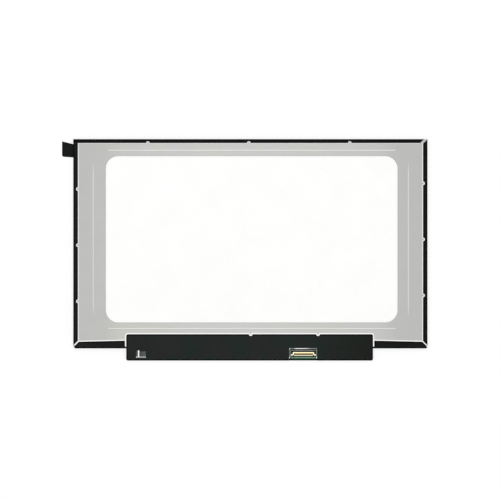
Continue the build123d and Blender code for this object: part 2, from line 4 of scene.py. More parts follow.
import bmesh
import bpy
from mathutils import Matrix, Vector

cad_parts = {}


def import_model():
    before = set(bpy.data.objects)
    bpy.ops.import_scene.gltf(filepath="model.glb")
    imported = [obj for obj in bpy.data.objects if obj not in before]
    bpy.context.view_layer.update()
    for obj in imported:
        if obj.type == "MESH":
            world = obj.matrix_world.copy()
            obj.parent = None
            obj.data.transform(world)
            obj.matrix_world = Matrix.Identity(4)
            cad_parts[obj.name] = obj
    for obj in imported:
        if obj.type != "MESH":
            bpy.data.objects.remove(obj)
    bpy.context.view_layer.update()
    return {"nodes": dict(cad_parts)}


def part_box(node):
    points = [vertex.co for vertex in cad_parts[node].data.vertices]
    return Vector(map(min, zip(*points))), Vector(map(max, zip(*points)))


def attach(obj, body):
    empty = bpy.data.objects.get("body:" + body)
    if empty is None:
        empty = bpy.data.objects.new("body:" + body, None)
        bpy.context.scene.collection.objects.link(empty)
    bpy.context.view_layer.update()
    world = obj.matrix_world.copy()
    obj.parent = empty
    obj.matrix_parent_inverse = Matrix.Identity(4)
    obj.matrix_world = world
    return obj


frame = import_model()
nodes = frame["nodes"]
MM = 0.001

# Camera: how many millimetres the square picture spans, and the point of the panel at its centre
FRAME_SPAN = 445.7
FRAME_CENTRE = (-0.34, -5.55)
LENS = 135.0
SENSOR = 36.0

# Black films, as cut: thicknesses, the cover's corners, and the notches' radius, places along their edges
# and the steps of their round stretches
TAPE_THICKNESS = 0.06
COVER_THICKNESS = 0.08
COVER_CORNER = 1.6
NOTCH_RADIUS = 1.6
TOP_NOTCHES = (-91.4, -1.4, 88.6)
LEFT_NOTCHES = (-51.3, -1.3, 48.7)
RIGHT_NOTCHES = (-46.1, 3.9, 53.9)
COVER_NOTCHES = (0.3, 60.3)
NOTCH_STEPS = 16
TURN_STEPS = 5

# Tones of the black films: how far in from a cut edge their painted shade stays darkest and clears, where the
# cover begins to darken towards its right end, how far the tab's film runs on under the tape, and how far a
# tone varies in display levels
FILM_EDGE_DARK = 0.85
FILM_EDGE_CLEAR = 1.35
FAR_START = 55.0
TAB_ROOT = 3.0
TONE_STEPS = (-4, 4)

# Textures that several finishes share
FINE_GRAIN = 900.0
BROAD_GRAIN = 35.0
FILM_BUMP = 0.02 * MM
METAL_BUMP = 0.01 * MM

# Pale adhesive that shows beside the films' edges: its height, its widths, the length of its mitred ends and
# how far above the plate's lower edge it ends beside the cover
GLUE_HEIGHT = 0.03
GLUE_TOP = 0.35
GLUE_SIDE = 0.75
GLUE_BOTTOM = 0.85
GLUE_COVER = 1.0
GLUE_MITRE = 0.8
MITRE_LENGTH = 3.4
GLUE_FOOT = 0.5

# Black lips of the tapes over that adhesive at the lower corners: clearance, length and widths
LIP_CLEAR = 0.005
LIP_LENGTH = 3.2
LEFT_SIDE_LIP = 0.22
RIGHT_SIDE_LIP = 0.19
RIGHT_BOTTOM_LIP = 0.19

# The plate's window
WINDOW_LEFT = -129.0
WINDOW_RIGHT = 131.3
WINDOW_LOW = -70.2
WINDOW_HIGH = 78.3
WINDOW_RADIUS = 11.2
WINDOW_MIDDLE = (WINDOW_LOW + WINDOW_HIGH) / 2

# The plate's beads, with a painted highlight on their crests: heights where it begins and is full, half the
# length of the side ones and the fade at their ends, the line between them and the others, and how strong it
# is on them beside the others
BEAD_FOOT = 0.03
BEAD_CREST = 0.15
SIDE_BEAD_HALF = 68.25
SIDE_BEAD_FADE = 9.0
SIDE_BEAD_START = 133.0
SIDE_BEAD_END = 137.0
LEFT_BEAD_SHINE = 0.8
RIGHT_BEAD_SHINE = 0.88
BEAD_END_SHINE = 0.25

# The plate's tone: where warm patches grow and the painted shade of the side columns begins, from the middle,
# and the painted shade along the window's rim
PATCH_START = 60.0
PATCH_FULL = 130.0
COLUMN_START = 114.0
COLUMN_FULL = 130.0
RIM_SHADE_START = 0.15
RIM_SHADE_END = 0.9

# The board cover's section, from the plate down to the board
COVER_DROP_LENGTH = 2.4
COVER_DROP_HEIGHT = 0.4

# Receptacle, and the cover's opening from its middle line
CONNECTOR_X = 47.3
CONTACT_COUNT = 30
CONTACT_PITCH = 0.5
OPENING_LEFT = -12.65
OPENING_RIGHT = 12.05
OPENING_TOP = -93.05
OPENING_LOW = -102.2
INK = 0.012
COPPER = 0.035

# Where looks change along Y at the receptacle: each pair is the start and the end of the change, and the last
# two are measured in from the shell's edges and the contacts' noses. The board's black behind and below the
# receptacle, the shell's dark edges and the contacts' dark noses are painted shade
FRONT_BAR = (-98.2, -98.9)
TAILS = (-95.6, -95.4)
SHADE_BEHIND = (-101.05, -100.9)
SHADE_BELOW = (-102.6, -102.9)
WHITE_FEET = (-100.5, -101.0)
SHELL_EDGE = (0.22, 0.1)
CONTACT_NOSE = (0.35, 0.1)

# Stretches of the adhesive at the opening: along X from the receptacle's middle, and the last two in from the
# opening's left and upper sides
DULL_REACH = 8.0
WHITE_LEFT = (-9.0, -6.5)
WHITE_RIGHT = (7.0, 1.0)
WHITE_CORNER = (0.9, 0.6)
UPPER_SIDE = (1.5, 0.8)

# Printed outline on the board: its lines along Y, and the outer side, inner side and tip of its ends along X.
# Then the copper below it
OUTLINE_LOW = -101.0
OUTLINE_BEND = -95.4
OUTLINE_HIGH = -94.75
OUTLINE_ENDS = ((-11.9, -11.2, -7.5), (11.6, 11.25, 7.5))
COPPER_LEFT = -11.2
COPPER_RIGHT = 11.0
COPPER_LOW = -101.95
COPPER_HIGH = -101.15

# Printed marks at the cover's lower left: a bar, a row of dashes, a margin column and a field of columns
PRINT_LEFT = -102.0
PRINT_LOW = -101.7
PRINT_HIGH = -95.1
PRINT_GAP = 0.1
BAR_START = 1.7
BAR_END = 2.9
BAR_FOOT = 0.5
DASH_ROW = 1.5
DASH_CLEAR = 0.15
DASH_COUNT = 6
DASH_PITCH = 1.0
DASH_LENGTH = 0.75
MARGIN_END = 0.6
MARGIN_DROP = 0.6
FIELD_START = 3.5
FIELD_DROP = 0.9
FIELD_COUNT = 7
FIELD_PITCH = 0.75
FIELD_WIDTH = 0.4
FIELD_GROWTH = 0.035

# Solder at the shell's legs: its stretch along the leg, its size and its run-out
LEG_START = 0.15
LEG_END = 1.5
LEG_FILLET = 0.24
LEG_TIP = 0.05
LEG_RUN_IN = 0.2
LEG_RUN_OUT = 0.1
LEG_HOLLOW = (0.4, 0.35)

# Soft rises of the cover: the node below, the gap between its parts and the height, and how far they fade
RISES = (("timing_controller", 20.0, 0.06), ("support_chips", 5.0, 0.045), ("inductors", 5.0, 0.08))
RISE_FADE = 1.4
RISE_STEPS = 14

# Studio: the floor's size in metres and the share of its look that is plain white, and the sky's two levels
FLOOR_SIZE = 8.0
FLOOR_GLOW = 0.7
SKY_LIGHT = 0.88
SKY_SHOWN = 1.0

# How near two heights or places count as the same, and how near two points are made one
SAME = 0.01
WELD = 0.0001 * MM

# Sockets of a colour mix node
MIX_FIRST = 6
MIX_SECOND = 7
MIX_RESULT = 2


def span(node):
    """A node's lowest and highest corner, in millimetres."""
    low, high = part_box(node)
    return low / MM, high / MM


# Heights and lines that the pieces lie at
TAPE_TOP_Z = span("tape_top")[1].z
PLATE_Z = TAPE_TOP_Z - TAPE_THICKNESS
BOARD_Z = span("driver_board")[1].z
PLATE_LOW = span("back_plate")[0].y
COVER_LOW, COVER_HIGH = span("board_cover")
COVER_FLAT_Z = PLATE_Z + COVER_THICKNESS - COVER_DROP_HEIGHT


def srgb(red, green, blue):
    """A colour given in 0 to 255 display levels, as linear light."""
    def linear(level):
        share = level / 255
        return share / 12.92 if share <= 0.04045 else ((share + 0.055) / 1.055) ** 2.4
    return (linear(red), linear(green), linear(blue), 1.0)


class Finish:
    """A node material on one shader, with short calls for the patterns that feed it."""

    def __init__(self, name):
        self.material = bpy.data.materials.new(name)
        self.material.use_nodes = True
        self.tree = self.material.node_tree
        self.shader = self.tree.nodes["Principled BSDF"]
        self.place = self.add("ShaderNodeTexCoord").outputs["Object"]

    def add(self, kind, **settings):
        node = self.tree.nodes.new(kind)
        for key, value in settings.items():
            setattr(node, key, value)
        return node

    def link(self, source, target):
        self.tree.links.new(source, target)

    def set(self, **values):
        for key, value in values.items():
            self.shader.inputs[key.replace("_", " ")].default_value = value
        return self

    def stretched(self, x, y, z):
        """Object coordinates with their own scale along each axis."""
        mapping = self.add("ShaderNodeMapping")
        mapping.inputs["Scale"].default_value = (x, y, z)
        self.link(self.place, mapping.inputs["Vector"])
        return mapping.outputs["Vector"]

    def noise(self, scale, detail=3.0, where=None):
        node = self.add("ShaderNodeTexNoise")
        node.inputs["Scale"].default_value = scale
        node.inputs["Detail"].default_value = detail
        self.link(where or self.place, node.inputs["Vector"])
        return node.outputs["Fac"]

    def spread(self, fac, low, high, from_low=0.3, from_high=0.7):
        """A pattern's value taken from one range to another."""
        node = self.add("ShaderNodeMapRange")
        node.inputs["From Min"].default_value = from_low
        node.inputs["From Max"].default_value = from_high
        node.inputs["To Min"].default_value = low
        node.inputs["To Max"].default_value = high
        self.link(fac, node.inputs["Value"])
        return node.outputs["Result"]

    def mix(self, fac, first, second):
        """Two colours, or colour sockets, mixed by a pattern."""
        node = self.add("ShaderNodeMix", data_type="RGBA")
        self.link(fac, node.inputs["Factor"])
        for value, socket in ((first, node.inputs[MIX_FIRST]), (second, node.inputs[MIX_SECOND])):
            if isinstance(value, tuple):
                socket.default_value = value
            else:
                self.link(value, socket)
        return node.outputs[MIX_RESULT]

    def maths(self, operation, first, second=0.0):
        node = self.add("ShaderNodeMath", operation=operation)
        for value, socket in ((first, node.inputs[0]), (second, node.inputs[1])):
            if isinstance(value, (int, float)):
                socket.default_value = value
            else:
                self.link(value, socket)
        return node.outputs[0]

    def blend(self, first, second, share):
        """Two patterns added, the first at this share and the second at the rest."""
        rest = self.maths("MULTIPLY", second, 1 - share)
        return self.maths("ADD", self.maths("MULTIPLY", first, share), rest)

    def axis(self, name):
        """One object coordinate, in metres."""
        node = self.add("ShaderNodeSeparateXYZ")
        self.link(self.place, node.inputs[0])
        return node.outputs[name]

    def ramp(self, name, start, end):
        """A value that goes from 0 to 1 between two places along an axis, given in millimetres."""
        return self.spread(self.axis(name), 0.0, 1.0, start * MM, end * MM)

    def plan_depth(self, low, high, lean=0.0):
        """How deep a point lies inside a rectangle in plan, in metres. Its upper side may lean along X."""
        x, y = self.axis("X"), self.axis("Y")
        above = self.maths("SUBTRACT", high[1] * MM, y)
        if lean:
            reach = self.maths("SUBTRACT", x, high[0] * MM)
            above = self.maths("ADD", above, self.maths("MULTIPLY", reach, lean))
        across = self.maths("MINIMUM", self.maths("SUBTRACT", x, low[0] * MM),
                            self.maths("SUBTRACT", high[0] * MM, x))
        along = self.maths("MINIMUM", self.maths("SUBTRACT", y, low[1] * MM), above)
        return self.maths("MINIMUM", across, along)

    def window_distance(self):
        """How far a point lies outside the plate's rounded window in plan, in metres."""
        reaches = []
        for name, low, high in (("X", WINDOW_LEFT, WINDOW_RIGHT), ("Y", WINDOW_LOW, WINDOW_HIGH)):
            offset = self.maths("SUBTRACT", self.axis(name), (low + high) / 2 * MM)
            straight = ((high - low) / 2 - WINDOW_RADIUS) * MM
            reach = self.maths("SUBTRACT", self.maths("ABSOLUTE", offset), straight)
            reach = self.maths("MAXIMUM", reach, 0.0)
            reaches.append(self.maths("MULTIPLY", reach, reach))
        distance = self.maths("SQRT", self.maths("ADD", *reaches))
        return self.maths("SUBTRACT", distance, WINDOW_RADIUS * MM)

    def colour(self, socket):
        self.link(socket, self.shader.inputs["Base Color"])
        return self

    def rough(self, socket):
        self.link(socket, self.shader.inputs["Roughness"])
        return self

    def bump(self, height, strength, depth):
        node = self.add("ShaderNodeBump")
        node.inputs["Strength"].default_value = strength
        node.inputs["Distance"].default_value = depth
        self.link(height, node.inputs["Height"])
        self.link(node.outputs["Normal"], self.shader.inputs["Normal"])
        return self


def film_finish(name, dark, light, roughness, specular, grain=FINE_GRAIN, bump=0.05):
    """Plastic film or sheet: a fine mottled tone, an uneven sheen and a slight surface texture."""
    finish = Finish(name)
    fine = finish.noise(grain)
    broad = finish.noise(BROAD_GRAIN, 2.0)
    tone = finish.spread(finish.blend(fine, broad, 0.5), 0.0, 1.0, 0.35, 0.65)
    finish.colour(finish.mix(tone, dark, light))
    finish.rough(finish.spread(broad, roughness - 0.05, roughness + 0.05))
    finish.bump(fine, bump, FILM_BUMP)
    return finish.set(Specular_IOR_Level=specular)


def edge_shaded_film(name, dark, light, low, high, lean=0.0, tint=None, far=None):
    """Black film with painted shade along its cut edges, with tinted patches and another tone at its end if
    given.
    """
    finish = Finish(name)
    fine = finish.noise(FINE_GRAIN)
    broad = finish.noise(BROAD_GRAIN, 2.0)
    tone = finish.mix(finish.spread(finish.blend(fine, broad, 0.5), 0.0, 1.0, 0.35, 0.65), dark, light)
    if tint:
        tone = finish.mix(finish.spread(finish.noise(60.0, 1.0), 0.0, 0.7, 0.45, 0.62), tone, tint)
    if far:
        tone = finish.mix(finish.ramp("X", FAR_START, high[0]), tone, far)
    depth = finish.plan_depth(low, high, lean)
    inside = finish.spread(depth, 0.0, 1.0, FILM_EDGE_DARK * MM, FILM_EDGE_CLEAR * MM)
    # painted shade: near black along the cut edges, clearing inward
    finish.colour(finish.mix(inside, srgb(2, 3, 3), tone))
    finish.rough(finish.spread(broad, 0.48, 0.6))
    finish.bump(fine, 0.05, FILM_BUMP)
    return finish.set(Specular_IOR_Level=0.045)


def metal_finish(name, dark, light, roughness, grain_x, grain_y, bump=0.03):
    """Metal with drawn grain, finer across one direction than along it."""
    finish = Finish(name)
    grain = finish.noise(1.0, 4.0, finish.stretched(grain_x, grain_y, grain_y))
    broad = finish.noise(22.0, 2.0)
    tone = finish.spread(finish.blend(grain, broad, 0.45), 0.0, 1.0, 0.35, 0.65)
    finish.colour(finish.mix(tone, dark, light))
    finish.rough(finish.spread(grain, roughness - 0.06, roughness + 0.06))
    finish.bump(grain, bump, METAL_BUMP)
    return finish.set(Metallic=1.0)


def bead_highlight(finish):
    """Painted highlight on the beads' crests: less on the side ones, where it also fades at their ends."""
    crest = finish.ramp("Z", PLATE_Z + BEAD_FOOT, PLATE_Z + BEAD_CREST)
    sideways = finish.maths("ABSOLUTE", finish.axis("X"))
    elsewhere = finish.spread(sideways, 1.0, 0.0, SIDE_BEAD_START * MM, SIDE_BEAD_END * MM)
    along = finish.maths("ABSOLUTE", finish.maths("SUBTRACT", finish.axis("Y"), WINDOW_MIDDLE * MM))
    fade_start = SIDE_BEAD_HALF - SIDE_BEAD_FADE
    fade = finish.spread(along, 1.0, BEAD_END_SHINE, fade_start * MM, SIDE_BEAD_HALF * MM)
    side = finish.spread(finish.axis("X"), LEFT_BEAD_SHINE, RIGHT_BEAD_SHINE,
                         -SIDE_BEAD_END * MM, SIDE_BEAD_END * MM)
    shine = finish.maths("MAXIMUM", elsewhere, finish.maths("MULTIPLY", side, fade))
    return finish.maths("MULTIPLY", crest, shine)


def plate_finish():
    """Satin plated sheet: grain, warm patches, painted shade on the side columns and along the window's rim,
    and a painted highlight on the beads.
    """
    finish = Finish("plate_metal")
    grain = finish.noise(1.0, 4.0, finish.stretched(60.0, 2600.0, 2600.0))
    sideways = finish.maths("ABSOLUTE", finish.axis("X"))
    aside = finish.spread(sideways, 0.35, 1.0, PATCH_START * MM, PATCH_FULL * MM)
    patches = finish.spread(finish.noise(34.0, 1.0), 0.0, 1.0, 0.46, 0.6)
    tone = finish.mix(finish.maths("MULTIPLY", aside, patches), srgb(174, 174, 174), srgb(176, 176, 164))
    # painted shade: the side columns a little darker
    columns = finish.spread(sideways, 0.0, 1.0, COLUMN_START * MM, COLUMN_FULL * MM)
    tone = finish.mix(columns, tone, srgb(167, 168, 165))
    drawn = finish.mix(finish.spread(grain, 0.0, 1.0), srgb(170, 170, 169), srgb(178, 178, 177))
    both = finish.mix(finish.spread(finish.noise(90.0, 2.0), 0.2, 0.4), tone, drawn)
    # painted shade along the window's rim, fading out away from it
    rim_shade = finish.spread(finish.window_distance(), 0.4, 0.0, RIM_SHADE_START * MM, RIM_SHADE_END * MM)
    both = finish.mix(rim_shade, both, srgb(150, 150, 149))
    # painted highlight on the bead crests
    finish.colour(finish.mix(bead_highlight(finish), both, srgb(199, 199, 197)))
    finish.rough(finish.spread(grain, 0.32, 0.44))
    finish.bump(grain, 0.03, METAL_BUMP)
    return finish.set(Metallic=1.0)


def clear_finish(name, tint, roughness, refraction):
    """Clear sheet with a faintly uneven surface."""
    finish = Finish(name)
    haze = finish.noise(400.0)
    finish.colour(finish.mix(haze, tint, srgb(255, 255, 255)))
    finish.rough(finish.spread(haze, roughness, roughness + 0.05))
    return finish.set(Transmission_Weight=1.0, IOR=refraction)


def shell_finish():
    """Thin gold plating, paler on the front bar and the wings than on the top, with painted shade along its
    front and rear edges.
    """
    finish = Finish("shell_gold")
    worn = finish.noise(1400.0)
    low, high = span("connector_shell")
    top = finish.mix(worn, srgb(232, 216, 160), srgb(252, 242, 200))
    front = finish.mix(worn, srgb(184, 173, 150), srgb(206, 197, 174))
    plating = finish.mix(finish.ramp("Y", *FRONT_BAR), top, front)
    # painted shade along the shell's front and rear edges
    edges = finish.maths("MAXIMUM", finish.ramp("Y", *[high.y - reach for reach in SHELL_EDGE]),
                         finish.ramp("Y", *[low.y + reach for reach in SHELL_EDGE]))
    finish.colour(finish.mix(edges, plating, srgb(92, 80, 52)))
    finish.rough(finish.spread(worn, 0.25, 0.38))
    finish.bump(worn, 0.03, METAL_BUMP)
    return finish.set(Metallic=1.0)


def contact_finish():
    """Gold beams in the mouth with painted shade at their noses, and tinned tails on the board."""
    finish = Finish("contact_gold")
    worn = finish.noise(2200.0)
    nose = span("connector_contacts")[0].y
    beam = finish.mix(worn, srgb(214, 188, 112), srgb(240, 220, 150))
    dull = finish.ramp("Y", *[nose + reach for reach in CONTACT_NOSE])
    # painted shade at the beams' noses
    beam = finish.mix(dull, beam, srgb(92, 70, 28))
    tail = finish.mix(worn, srgb(150, 156, 152), srgb(186, 190, 186))
    finish.colour(finish.mix(finish.ramp("Y", *TAILS), beam, tail))
    finish.rough(finish.spread(worn, 0.28, 0.42))
    finish.bump(worn, 0.03, METAL_BUMP)
    return finish.set(Metallic=1.0)


def board_finish():
    """Green solder mask over a faint glass weave, with painted shade, near black, behind and below the
    receptacle.
    """
    finish = Finish("board_mask")
    weave = finish.noise(1.0, 2.0, finish.stretched(2400.0, 700.0, 700.0))
    broad = finish.noise(120.0, 2.0)
    tone = finish.spread(finish.blend(weave, broad, 0.5), 0.0, 1.0)
    green = finish.mix(tone, srgb(34, 58, 42), srgb(48, 78, 57))
    # painted shade: the board near black behind the receptacle and along its lower edge
    field = finish.maths("MAXIMUM", finish.ramp("Y", *SHADE_BEHIND), finish.ramp("Y", *SHADE_BELOW))
    finish.colour(finish.mix(field, green, srgb(10, 17, 14)))
    finish.rough(finish.spread(broad, 0.3, 0.42))
    finish.bump(weave, 0.1, FILM_BUMP)
    return finish.set(Specular_IOR_Level=0.06)


def opening_edge_finish():
    """Adhesive at the opening: white along the upper side's middle and at three corners, else dull."""
    finish = Finish("cut_edge")
    worn = finish.noise(260.0, 2.0)
    x = CONNECTOR_X
    side = x + OPENING_LEFT
    left = finish.mix(worn, srgb(84, 94, 89), srgb(136, 146, 141))
    right = finish.mix(worn, srgb(100, 110, 105), srgb(158, 167, 162))
    dull = finish.mix(finish.ramp("X", x - DULL_REACH, x + DULL_REACH), left, right)
    upper = finish.ramp("Y", *[OPENING_TOP - reach for reach in UPPER_SIDE])
    middle = finish.maths("MULTIPLY", finish.ramp("X", *[x + reach for reach in WHITE_LEFT]),
                          finish.ramp("X", *[x + reach for reach in WHITE_RIGHT]))
    corner = finish.ramp("X", *[side + reach for reach in WHITE_CORNER])
    bright = finish.maths("MULTIPLY", upper, finish.maths("MAXIMUM", middle, corner))
    bright = finish.maths("MAXIMUM", bright, finish.ramp("Y", *WHITE_FEET))
    finish.colour(finish.mix(bright, dull, srgb(246, 248, 247)))
    finish.rough(finish.spread(worn, 0.45, 0.6))
    finish.bump(worn, 0.1, FILM_BUMP)
    return finish.set(Specular_IOR_Level=0.2)


def dress(finish, *names):
    """Gives a finish to CAD nodes."""
    for name in names:
        mesh = nodes[name].data
        mesh.materials.clear()
        mesh.materials.append(finish.material)


def top_points(node):
    """The points of a tape's upper face, in millimetres."""
    return [v.co / MM for v in nodes[node].data.vertices if v.co.z / MM > TAPE_TOP_Z - SAME]


def bottom_edge(node, away):
    """The inner edge of a bottom tape: its point beside the board, and its point at the mitre."""
    tops = top_points(node)
    board_end = min(tops, key=lambda point: away * point.x - point.y)
    corner = max(tops, key=lambda point: away * point.x + point.y)
    return (board_end.x, board_end.y), (corner.x, corner.y)


# Inner edges of the bottom tapes, and each tape's depth of black in display levels
LEFT_BOTTOM = bottom_edge("tape_bottom_left", -1)
RIGHT_BOTTOM = bottom_edge("tape_bottom_right", 1)
TAPE_LEVELS = {"tape_top": 14, "tape_left": 25, "tape_right": 18, "pull_tab": 22,
               "tape_bottom_left": 25, "tape_bottom_right": 21}


def dress_tapes():
    """Each tape's painted edge shade follows its own cut, and each has its own depth of black."""
    inner_edges = {"tape_bottom_left": LEFT_BOTTOM, "tape_bottom_right": RIGHT_BOTTOM}
    for node, level in TAPE_LEVELS.items():
        low, high = span(node)
        lean = 0.0
        if node == "pull_tab":
            high.x += TAB_ROOT
        if node in inner_edges:
            board_end, corner = inner_edges[node]
            lean = (board_end[1] - corner[1]) / (board_end[0] - corner[0])
            high.y = board_end[1] + lean * (high.x - board_end[0])
        tones = [srgb(level + step, level + step + 1, level + step + 1) for step in TONE_STEPS]
        dress(edge_shaded_film(f"{node}_film", *tones, low, high, lean), node)


COVER_TONES = (srgb(31, 33, 32), srgb(38, 39, 39))
cover_film = edge_shaded_film("cover_film", *COVER_TONES, COVER_LOW, COVER_HIGH,
                      tint=srgb(26, 39, 36), far=srgb(25, 28, 24))
black_film = film_finish("black_film", srgb(20, 21, 21), srgb(28, 29, 29),
                         roughness=0.55, specular=0.05)
frame_plastic = film_finish("frame_plastic", srgb(10, 10, 11), srgb(17, 17, 18),
                            roughness=0.55, specular=0.12, grain=1600.0, bump=0.12)
white_film = film_finish("white_film", srgb(245, 245, 244), srgb(249, 249, 248),
                         roughness=0.6, specular=0.3, grain=500.0)
polariser = film_finish("polariser", srgb(12, 12, 14), srgb(18, 18, 21),
                        roughness=0.3, specular=0.5, grain=1200.0, bump=0.01)
silicon = metal_finish("silicon", srgb(92, 92, 100), srgb(112, 112, 122),
                       roughness=0.25, grain_x=500.0, grain_y=500.0)
amber = film_finish("amber_flex", srgb(150, 92, 34), srgb(178, 116, 50),
                    roughness=0.35, specular=0.4)
optical = film_finish("optical_sheet", srgb(222, 224, 226), srgb(234, 236, 238),
                      roughness=0.45, specular=0.4)
package = film_finish("chip_package", srgb(24, 24, 26), srgb(36, 36, 38),
                      roughness=0.6, specular=0.3, grain=2500.0, bump=0.15)
ferrite = film_finish("ferrite", srgb(66, 64, 62), srgb(88, 85, 82),
                      roughness=0.65, specular=0.3, grain=2500.0, bump=0.2)
ceramic = film_finish("ceramic", srgb(150, 118, 84), srgb(176, 144, 108),
                      roughness=0.5, specular=0.4, grain=2500.0, bump=0.1)
led_finish = film_finish("led_package", srgb(226, 218, 168), srgb(240, 234, 190),
                         roughness=0.5, specular=0.4)
glue = film_finish("glue", srgb(244, 244, 242), srgb(250, 250, 249),
                   roughness=0.5, specular=0.2, grain=700.0, bump=0.1)
glue_thin = film_finish("glue_thin", srgb(226, 227, 225), srgb(236, 237, 235),
                        roughness=0.5, specular=0.2, grain=700.0, bump=0.1)
cut_edge = opening_edge_finish()
ink = film_finish("ink", srgb(240, 243, 240), srgb(248, 250, 248),
                  roughness=0.6, specular=0.1, grain=1500.0, bump=0.1)
mid_ink = film_finish("mid_ink", srgb(160, 163, 161), srgb(205, 208, 206),
                      roughness=0.6, specular=0.1, grain=1500.0, bump=0.1)
dim_ink = film_finish("dim_ink", srgb(84, 86, 85), srgb(112, 114, 113),
                      roughness=0.6, specular=0.1, grain=1500.0, bump=0.1)
board_ink = film_finish("board_ink", srgb(122, 138, 126), srgb(150, 166, 154),
                        roughness=0.6, specular=0.1, grain=1500.0, bump=0.1)
copper_mask = film_finish("copper_mask", srgb(104, 146, 118), srgb(124, 166, 138),
                          roughness=0.35, specular=0.3, grain=1500.0, bump=0.1)
solder = metal_finish("solder", srgb(150, 154, 152), srgb(190, 193, 190),
                      roughness=0.35, grain_x=900.0, grain_y=900.0)
cell_glass = clear_finish("cell_glass", srgb(226, 240, 234), roughness=0.03, refraction=1.52)
guide_acrylic = clear_finish("guide_acrylic", srgb(240, 246, 250), roughness=0.06, refraction=1.49)
clear_film = clear_finish("clear_film", srgb(240, 244, 250), roughness=0.08, refraction=1.45)

dress_tapes()
dress(black_film, "ledge_cover", "rim_tape", "led_tape")
dress(cover_film, "board_cover")
dress(frame_plastic, "mould_frame", "connector_housing")
dress(white_film, "reflector_sheet")
dress(plate_finish(), "back_plate")
dress(shell_finish(), "connector_shell")
dress(contact_finish(), "connector_contacts")
dress(polariser, "front_polariser", "rear_polariser")
dress(cell_glass, "colour_filter_glass", "array_glass")
dress(guide_acrylic, "light_guide_plate")
dress(clear_film, "protective_film")
dress(silicon, "driver_chips")
dress(amber, "flex_links", "led_flex")
dress(optical, "upper_prism_sheet", "lower_prism_sheet", "diffuser_sheet")
dress(board_finish(), "driver_board")
dress(package, "timing_controller", "support_chips", "resistors")
dress(ferrite, "inductors")
dress(ceramic, "capacitors")
dress(led_finish, "leds")


def add_piece(name, bm, finish):
    """Turns a built mesh into a piece of the panel."""
    bmesh.ops.remove_doubles(bm, verts=bm.verts, dist=WELD)
    bmesh.ops.dissolve_degenerate(bm, edges=bm.edges, dist=WELD)
    bmesh.ops.recalc_face_normals(bm, faces=bm.faces)
    mesh = bpy.data.meshes.new(name)
    bm.to_mesh(mesh)
    bm.free()
    mesh.materials.append(finish.material)
    piece = bpy.data.objects.new(name, mesh)
    bpy.context.scene.collection.objects.link(piece)
    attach(piece, "root")
    return piece


def loft(bm, sections):
    """A closed skin through sections of equally many points, given in millimetres."""
    rings = [[bm.verts.new([c * MM for c in point]) for point in section] for section in sections]
    count = len(rings[0])
    for first, second in zip(rings, rings[1:]):
        for i in range(count):
            j = (i + 1) % count
            bm.faces.new((first[i], first[j], second[j], second[i]))
    bm.faces.new(rings[0][::-1])
    bm.faces.new(rings[-1])


def block(bm, x0, x1, y0, y1, z0, z1, edge=0.0):
    """A flat mark or pad, with its upper edges drawn in."""
    loft(bm, [[(x0, y0, z0), (x1, y0, z0), (x1, y1, z0), (x0, y1, z0)],
              [(x0 + edge, y0 + edge, z1), (x1 - edge, y0 + edge, z1),
               (x1 - edge, y1 - edge, z1), (x0 + edge, y1 - edge, z1)]])


def arc(centre, radius, start, end, steps=10):
    """Points on an arc, with its angles in degrees."""
    angles = [math.radians(start + (end - start) * i / steps) for i in range(steps + 1)]
    return [(centre[0] + radius * math.cos(a), centre[1] + radius * math.sin(a)) for a in angles]


def notched_edge(start, end, notches, width):
    """Pairs of points along an edge and this far beside it, round half-round notches.

    They are (along, across): across is positive away from the film, and a notch goes into the film.
    """
    pairs = [((start, 0.0), (start, width))]
    r = NOTCH_RADIUS
    for centre in notches:
        start_point, end_point = (centre - r, 0.0), (centre + r, 0.0)
        pairs += [(start_point, point) for point in arc(start_point, width, 90, 0, TURN_STEPS)]
        pairs += zip(arc((centre, 0.0), r, 180, 360, NOTCH_STEPS),
                     arc((centre, 0.0), r - width, 180, 360, NOTCH_STEPS))
        pairs += [(end_point, point) for point in arc(end_point, width, 180, 90, TURN_STEPS)]
    return pairs + [((end, 0.0), (end, width))]


def glue_strip(bm, pairs):
    """A low rounded strip on the plate between pairs of points: high at the film, thin at its outer side."""
    profile = ((0, 0), (0, 1), (0.55, 0.95), (0.85, 0.6), (1, 0.15), (1, 0))
    loft(bm, [[(x0 + (x1 - x0) * share, y0 + (y1 - y0) * share, PLATE_Z + rise * GLUE_HEIGHT)
               for share, rise in profile] for (x0, y0), (x1, y1) in pairs])


def side_glue():
    """Adhesive beside the left and right tapes, and beside the bottom tapes."""
    top = span("tape_top")[0].y
    sides = (("left", span("tape_left")[1].x, 1, LEFT_NOTCHES, LEFT_BOTTOM),
             ("right", span("tape_right")[0].x, -1, RIGHT_NOTCHES, RIGHT_BOTTOM))
    for name, edge, inward, notches, (board_end, corner) in sides:
        joint = (edge + inward * GLUE_SIDE, corner[1] + GLUE_BOTTOM)
        end = (corner[0] - inward * MITRE_LENGTH, corner[1] - MITRE_LENGTH)
        mitre = [((x, y), (x - inward * GLUE_MITRE, y + GLUE_MITRE)) for x, y in (corner, end)]
        along = notched_edge(joint[1], top, notches, GLUE_SIDE)[1:]
        along = [tuple((edge + inward * t, s) for s, t in pair) for pair in along]
        bm = bmesh.new()
        glue_strip(bm, [(mitre[0][1], joint)] + along)
        add_piece(f"edge_glue_{name}", bm, glue_thin)
        bm = bmesh.new()
        glue_strip(bm, [(board_end, (board_end[0], board_end[1] + GLUE_BOTTOM)), (corner, joint)] + mitre)
        add_piece(f"edge_glue_bottom_{name}", bm, glue)


def lip_plan(node, away, into, width):
    """Outline of a lip on a tape's mitred edge: away is its side along X, into the way to the gap."""
    tops = top_points(node)
    edge = max(into * (away * point.x + point.y) for point in tops)
    start = min(abs(point.x) for point in tops if into * (away * point.x + point.y) > edge - SAME)
    plan = []
    for along, across in ((0.0, LIP_CLEAR), (LIP_LENGTH, LIP_CLEAR), (LIP_LENGTH, width), (width, width)):
        step = into * across * math.sqrt(0.5)
        plan.append((away * (start + along + step), into * edge - start - along + step))
    return plan


